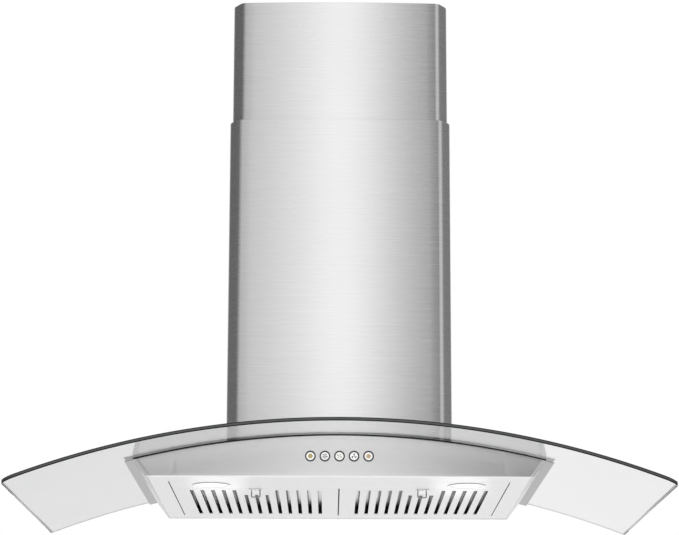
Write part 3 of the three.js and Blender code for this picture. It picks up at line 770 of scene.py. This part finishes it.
def make_filter(side):
    low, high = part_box(f"filter_{side}")
    centre = (low.x + high.x) / 2
    bm = bmesh.new()
    slots = []
    for i in range(SLOT_COUNT):
        x = slot_x(centre, i)
        near_latch = abs(i - (SLOT_COUNT - 1) / 2) <= 1
        start = SLOT_FRONT_BY_LATCH if near_latch else SLOT_FRONT
        half = SLOT_WIDTH / 2
        slots.append(rounded_rectangle(x - half, x + half, start, SLOT_REAR, half * 0.6, 4))
    near, far = 0.3 * MM, 0.9 * MM
    x0, x1 = (low.x + near, high.x - far) if centre > 0 else (low.x + far, high.x - near)
    edge = rounded_rectangle(x0, x1, low.y + near, high.y, 2 * MM)
    add_prism(bm, edge, slots, low.z, low.z + FACE_SHEET)
    face = finish_piece(
        f"filter_face_{side}", bm, FILTER_STEEL, f"filter_{side}", [f"filter_{side}"],
    )
    bevelled(face, 0.35 * MM)
    bm = bmesh.new()
    inner = rounded_rectangle(x0 + 1.2 * MM, x1 - 1.2 * MM, low.y + 1.2 * MM, high.y - 1.2 * MM, MM)
    add_prism(bm, edge, [inner], low.z + FACE_SHEET, high.z)
    wall = finish_piece(f"filter_rim_{side}", bm, FILTER_STEEL, f"filter_{side}")
    wall.data.materials.append(PAINTED_SHADE_BLACK)
    middle_y = (low.y + high.y) / 2
    # The rim's inward-facing walls take the near-black painted shade, so the slots read dark at their
    # rear ends.
    for face in wall.data.polygons:
        inward = Vector((face.center.x - centre, face.center.y - middle_y, 0)).dot(face.normal) < 0
        face.material_index = 1 if inward and abs(face.normal.z) < 0.5 else 0
    make_baffles(side, low, high, centre)
    make_latch(side, centre)


def make_baffles(side, low, high, centre):
    """Upturned channels above the slots, tied by a bar at each end."""
    bm = bmesh.new()
    top = high.z - 0.5 * MM
    y0, y1 = low.y + 1.6 * MM, high.y - 1.6 * MM
    half, sheet, depth, fold = 5.5 * MM, 0.8 * MM, 6 * MM, 1.2 * MM
    for i in range(SLOT_COUNT):
        x = slot_x(centre, i)
        outer = [(-half, top - depth), (-half, top - fold), (-half + fold, top)]
        outer += [(-a, b) for a, b in reversed(outer)]
        inner = [(a * (half - sheet) / half, b - (sheet if b > top - depth else 0)) for a, b in outer]
        section = [(x + a, b) for a, b in outer + inner[::-1]]
        add_prism(bm, section, [], y0 + 0.2 * MM, y1 - 0.2 * MM, lambda a, b, c: (a, c, b))
    for start in (y0, y1 - 10 * MM):
        bar = rectangle(low.x + 1.7 * MM, high.x - 1.7 * MM, start, start + 10 * MM)
        add_prism(bm, bar, [], top + 0.02 * MM, top + 0.45 * MM)
    finish_piece(
        f"filter_channels_{side}", bm, BAFFLE_PAINTED_LIGHT_STEEL, f"filter_{side}",
        [f"filter_baffles_{side}"],
    )


def make_latch(side, x):
    """A sprung sliding latch: a pressed plate with three ribs and a bent wire finger loop."""
    low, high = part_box(f"filter_latch_{side}")
    top = BODY_BOTTOM - GAP
    bm = bmesh.new()
    plate = rounded_rectangle(low.x, high.x, low.y, high.y, 2.5 * MM)
    add_prism(bm, plate, [], top - 1.1 * MM, top)
    rib_half, rib_start, rib_end = 1.1 * MM, low.y + 3 * MM, low.y + 16 * MM
    for middle_x in (x - 4.5 * MM, x, x + 4.5 * MM):
        rib = rounded_rectangle(middle_x - rib_half, middle_x + rib_half, rib_start, rib_end, 0.9 * MM)
        add_prism(bm, rib, [], top - 2.2 * MM, top - 1.1 * MM)
    body = finish_piece(
        f"latch_slide_{side}", bm, RIM_METAL, f"latch_{side}", [f"filter_latch_{side}"],
    )
    bevelled(body, 0.3 * MM)
    wire = bpy.data.curves.new(f"latch_loop_{side}", "CURVE")
    wire.dimensions = "3D"
    wire.bevel_depth = 0.9 * MM
    wire.bevel_resolution = 4
    spline = wire.splines.new("NURBS")
    y = low.y + 30 * MM
    half = 6.1 * MM
    foot, bottom = top - 0.8 * MM, low.z + 0.9 * MM
    points = [
        (x - half, foot), (x - half, foot - 3 * MM), (x - half, bottom + MM), (x - half + MM, bottom),
        (x + half - MM, bottom), (x + half, bottom + MM), (x + half, foot - 3 * MM), (x + half, foot),
    ]
    spline.points.add(len(points) - 1)
    for point, (px, pz) in zip(spline.points, points):
        point.co = (px, y, pz, 1)
    spline.use_endpoint_u = True
    spline.order_u = 3
    wire.materials.append(LATCH_WIRE)
    loop = bpy.data.objects.new(f"latch_loop_{side}", wire)
    bpy.context.scene.collection.objects.link(loop)
    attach(loop, f"latch_{side}")


# ======================================================================
# Push buttons
# ======================================================================
def add_flat(bm, outline, y, depth, centre):
    """A thin raised mark on a button's face: outline in (x, z) about the centre."""
    points = [(centre.x + a, centre.z + b) for a, b in outline]
    add_prism(bm, points, [], y - depth, y, lambda a, b, c: (a, c, b))


def fan_blade(turn, reach, width):
    points = []
    for i in range(13):
        t = i / 12
        angle = turn + 0.9 * t
        points.append((reach * t * math.cos(angle), reach * t * math.sin(angle)))
    for i in range(12, 0, -1):
        t = i / 12
        angle = turn + 0.9 * t + width
        points.append((reach * t * math.cos(angle), reach * t * math.sin(angle)))
    return points


def make_button(word):
    low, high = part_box(f"button_{word}")
    centre = middle(f"button_{word}")
    r = high.x - centre.x
    front = low.y
    at = (centre.x, front, centre.z)
    cap = [
        (0.0001 * MM, 0.5 * MM), (r * 0.72, 0.45 * MM), (r * 0.82, 0.25 * MM), (r * 0.89, 0.02 * MM),
        (r * 0.95, 0.1 * MM), (r * 0.99, 0.5 * MM), (r, 1.2 * MM), (r, 9 * MM), (0.0001 * MM, 9 * MM),
    ]
    stem = [(0.0001 * MM, 9 * MM), (2 * MM, 9 * MM), (2 * MM, 19 * MM), (0.0001 * MM, 19 * MM)]
    bm = bmesh.new()
    add_lathe(bm, cap, at, axis="y", count=48)
    add_lathe(bm, stem, at, axis="y", count=24)
    finish_piece(
        f"button_cap_{word}", bm, BUTTON_PAINTED_GLOW_WHITE, f"button_{word}", [f"button_{word}"],
    )

    ring_low, ring_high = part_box(f"button_ring_{word}")
    outer = ring_high.x - centre.x
    inner = r + 0.35 * MM
    back = ring_high.y - ring_low.y
    sleeve = outer - 1.2 * MM
    lip = outer - 1.5 * MM
    ring = [
        (inner, 0.9 * MM), (lip, 0.25 * MM), (lip + 0.15 * MM, 0), (outer - 0.25 * MM, 0.05 * MM),
        (outer, 0.5 * MM), (outer, 1.4 * MM), (sleeve, 1.5 * MM), (sleeve, back), (inner, back),
        (inner, 0.9 * MM),
    ]
    bm = bmesh.new()
    add_lathe(bm, ring, (centre.x, ring_low.y, centre.z), axis="y", count=48)
    bezel = finish_piece(
        f"button_bezel_{word}", bm, BEZEL_PAINTED_SHADOW, "hood", [f"button_ring_{word}"],
    )
    bezel.data.materials.append(BUTTON_PAINTED_GLOW_WHITE)
    # The bezel's front face takes the glowing button white, a painted highlight of its shine; the rest
    # is near-black painted shade.
    for face in bezel.data.polygons:
        radius = math.hypot(face.center.x - centre.x, face.center.z - centre.z)
        face.material_index = 1 if face.normal.y < -0.6 and radius < lip else 0
    make_icon(word, centre, front + 0.52 * MM)


def make_icon(word, centre, y):
    bm = bmesh.new()
    depth = 0.12 * MM
    if word in ("power", "light"):
        add_flat(bm, circle(0, 0, 3.3 * MM, 40), y, depth, centre)
        material = ICON_AMBER if word == "power" else ICON_PEACH
    elif word == "fan_low":
        for i in range(5):
            add_flat(bm, fan_blade(2 * math.pi * i / 5, 3.8 * MM, 0.62), y, depth, centre)
        material = ICON_DARK
    elif word == "fan_medium":
        for i in range(4):
            add_flat(bm, fan_blade(2 * math.pi * i / 4, 3.8 * MM, 0.8), y, depth, centre)
        material = ICON_GREEN
    else:
        for i in range(3):
            add_flat(bm, fan_blade(2 * math.pi * i / 3 + 0.5, 3.8 * MM, 0.85), y, depth, centre)
        material = ICON_DARK
    finish_piece(f"button_mark_{word}", bm, material, f"button_{word}")


# ======================================================================
# Chimney
# ======================================================================
def cover_path(half_width, half_depth, inset, fold, steps=8):
    """A cover half from seam to seam as (x, distance from the middle), with folded corners."""
    w = half_width - inset
    flat = w - FACET_X + inset / 2
    edge = half_depth - inset - CHIMNEY_BOW
    radius = (flat**2 + CHIMNEY_BOW**2) / (2 * CHIMNEY_BOW)

    def bow(x):
        return edge + CHIMNEY_BOW - radius + math.sqrt(radius**2 - x * x)

    facet_end = edge - FACET_Y + inset / 2
    corners = [Vector((w, 0.15 * MM)), Vector((w, facet_end)), Vector((flat, edge))]
    face = [Vector((x, bow(x))) for x in spread(flat - 2 * fold, -flat + 2 * fold, 40)]
    path = [corners[0]]
    after = [corners[1], corners[2], face[0]]
    for before, corner, following in zip(corners[:2], after[:2], after[1:]):
        start = corner + (before - corner).normalized() * fold
        end = corner + (following - corner).normalized() * fold
        for i in range(steps + 1):
            t = i / steps
            path.append(start.lerp(corner, t).lerp(corner.lerp(end, t), t))
    mirrored = [Vector((-p.x, p.y)) for p in reversed(path)]
    return path + face[1:-1] + mirrored


def make_cover(kind, word):
    front_low, front_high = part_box(f"{kind}_cover_front")
    rear_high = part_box(f"{kind}_cover_rear")[1]
    mid_y = (front_low.y + rear_high.y) / 2
    half_width = front_high.x
    half_depth = rear_high.y - mid_y
    facing = -1 if word == "front" else 1
    outer = cover_path(half_width, half_depth, 0, COVER_FOLD)
    inner = cover_path(half_width, half_depth, COVER_SHEET, COVER_FOLD - 0.6 * MM)
    top = front_high.z
    lift = GLASS_THICK + 2 * GAP

    def bottom_z(x):
        return bend_z(x, lift) if kind == "lower" else front_low.z

    bm = bmesh.new()
    strips = []
    for path in (outer, inner):
        feet = [bm.verts.new((p.x, mid_y + facing * p.y, bottom_z(p.x))) for p in path]
        heads = [bm.verts.new((p.x, mid_y + facing * p.y, top)) for p in path]
        strips.append((feet, heads))
    (out_feet, out_heads), (in_feet, in_heads) = strips
    for i in range(len(outer) - 1):
        bm.faces.new((out_feet[i], out_feet[i + 1], out_heads[i + 1], out_heads[i]))
        bm.faces.new((in_feet[i], in_heads[i], in_heads[i + 1], in_feet[i + 1]))
        bm.faces.new((out_heads[i], out_heads[i + 1], in_heads[i + 1], in_heads[i]))
        bm.faces.new((out_feet[i], in_feet[i], in_feet[i + 1], out_feet[i + 1]))
    for i in (0, len(outer) - 1):
        bm.faces.new((out_feet[i], out_heads[i], in_heads[i], in_feet[i]))
    cover = finish_piece(
        f"{kind}_chimney_{word}", bm, CHIMNEY_STEEL, f"{kind}_cover",
        [f"{kind}_cover_{word}"],
    )
    bevelled(cover, 0.35 * MM, angle=50)


# ======================================================================
# Hidden CAD pieces keep their shape and get a finish
# ======================================================================
def dress_cad_nodes():
    finishes = {
        "galvanised": GALVANISED,
        "black_plastic": BLACK_PLASTIC,
        "driver_plastic": WHITE_PLASTIC,
        "circuit_board": BOARD,
        "bare_aluminium": ALUMINIUM,
    }
    slots = {row["node"]: row["material_slot"] for row in frame["record"]["subparts"]}
    for name, node in frame["nodes"].items():
        if node.hide_render:
            continue
        material = finishes.get(slots[name], BODY_STEEL)
        node.data.materials.clear()
        node.data.materials.append(material)


# ======================================================================
# Studio
# ======================================================================
WORLD_STRENGTH = 1.0
FLOOR_HALF = 22
FLOOR_CORNER = 8
FLOOR_Z = -6.5
GLOW_BEHIND_LAMP = 0.16
GLOW_BELOW_LAMP = 0.06
# The tone of the surroundings at each bearing: 0 is in front of the hood, 180 behind it.
COMPASS_TONES = [
    (-180, 0.60), (-160, 0.60), (-135, 0.12), (-60, 0.12), (-25, 0.40), (-11, 0.50), (-7, 0.80),
    (-4, 0.90), (-1.5, 1.16), (0.5, 1.42), (3, 1.08), (7, 0.62), (11, 0.24), (15, 0.16), (24, 0.55),
    (60, 0.65), (85, 0.25), (135, 0.18), (160, 0.74), (180, 0.74),
]
# The same below the horizon.
LOW_TONES = [
    (-180, 0.92), (-150, 0.92), (-125, 0.5), (-60, 0.3), (-25, 0.6), (-6, 1.1), (0.5, 1.6), (7, 0.8),
    (15, 0.4), (30, 0.7), (60, 0.7), (125, 0.5), (150, 1.0), (180, 1.0),
]


def make_world():
    """A white backdrop for the camera. Reflections see soft bands of light and shade all round."""
    world = bpy.data.worlds.new("studio")
    bpy.context.scene.world = world
    world.use_nodes = True
    nodes = Nodes(world.node_tree)
    surroundings = world.node_tree.nodes["Background"]
    output = world.node_tree.nodes["World Output"]
    direction = nodes.add("ShaderNodeSeparateXYZ")
    nodes.link(nodes.add("ShaderNodeTexCoord").outputs["Generated"], direction.inputs[0])
    ahead = nodes.math("MULTIPLY", direction.outputs["Y"], -1)
    turn = nodes.math("ARCTAN2", direction.outputs["X"], ahead)
    compass = nodes.math("ADD", nodes.math("DIVIDE", turn, 2 * math.pi), 0.5)
    bands = nodes.ramp(compass, [(degrees / 360 + 0.5, grey(value)) for degrees, value in COMPASS_TONES])
    low_bands = nodes.ramp(compass, [(degrees / 360 + 0.5, grey(value)) for degrees, value in LOW_TONES])
    height = nodes.math("ADD", nodes.math("MULTIPLY", direction.outputs["Z"], 0.5), 0.5)
    shade = nodes.add("ShaderNodeMix", data_type="RGBA")
    nodes.link(nodes.ramp(height, [(0.46, grey(0)), (0.51, grey(1))]), shade.inputs["Factor"])
    nodes.link(low_bands, shade.inputs["A"])
    nodes.link(bands, shade.inputs["B"])
    nodes.link(shade.outputs["Result"], surroundings.inputs["Color"])
    surroundings.inputs["Strength"].default_value = WORLD_STRENGTH
    backdrop = nodes.add("ShaderNodeBackground")
    backdrop.inputs["Color"].default_value = (1, 1, 1, 1)
    mix = nodes.add("ShaderNodeMixShader")
    nodes.link(nodes.add("ShaderNodeLightPath").outputs["Is Camera Ray"], mix.inputs[0])
    nodes.link(surroundings.outputs[0], mix.inputs[1])
    nodes.link(backdrop.outputs[0], mix.inputs[2])
    nodes.link(mix.outputs[0], output.inputs["Surface"])


def make_area_light(name, at, towards, size, power):
    data = bpy.data.lights.new(name, "AREA")
    data.shape = "RECTANGLE"
    data.size, data.size_y = size
    data.energy = power
    lamp = bpy.data.objects.new(name, data)
    bpy.context.scene.collection.objects.link(lamp)
    lamp.location = at
    lamp.rotation_euler = (Vector(towards) - Vector(at)).to_track_quat("-Z", "Y").to_euler()
    lamp.visible_camera = False
    lamp.visible_glossy = False
    lamp.visible_transmission = False


def make_lights():
    """Soft fills from the front and from above, and a little glow under each lamp."""
    make_area_light("front_fill", (0, -3, 1.2), (0, 0, 0.3), (3, 2), 60)
    make_area_light("top_fill", (0, -0.5, 4), (0, 0, 0), (5, 5), 210)
    for hand in ("left", "right"):
        centre = middle(f"lamp_lens_{hand}")
        data = bpy.data.lights.new(f"lamp_glow_{hand}", "POINT")
        data.energy = 0.03
        data.shadow_soft_size = 0.045
        glow = bpy.data.objects.new(f"lamp_glow_{hand}", data)
        bpy.context.scene.collection.objects.link(glow)
        glow.location = (centre.x, centre.y + GLOW_BEHIND_LAMP, centre.z - GLOW_BELOW_LAMP)
        glow.visible_camera = False
        glow.visible_transmission = False


def make_floor():
    """A plain pale floor, far enough below for the underside to be looked at from anywhere."""
    bm = bmesh.new()
    outline = rounded_rectangle(-FLOOR_HALF, FLOOR_HALF, -FLOOR_HALF, FLOOR_HALF, FLOOR_CORNER)
    bm.faces.new([bm.verts.new((x, y, FLOOR_Z)) for x, y in outline])
    mesh = bpy.data.meshes.new("floor")
    bm.to_mesh(mesh)
    bm.free()
    pale = moulded_plastic("pale_floor", (0.88, 0.88, 0.88), 0.8, spread=0.01)
    light_up(pale, (1, 1, 1), 0.45)
    mesh.materials.append(pale)
    floor = bpy.data.objects.new("floor", mesh)
    bpy.context.scene.collection.objects.link(floor)


make_camera()
make_glass()
make_gasket()
make_front_panel()
make_body_shell()
make_top_plate()
make_bottom_frame()
make_lamp_panel()
for hand in ("left", "right"):
    make_lamp(hand)
    make_filter(hand)
for function in BUTTON_NAMES:
    make_button(function)
for cover_kind in ("lower", "upper"):
    for cover_word in ("front", "rear"):
        make_cover(cover_kind, cover_word)
dress_cad_nodes()
bpy.context.scene.view_settings.view_transform = "Standard"
make_world()
make_lights()
make_floor()
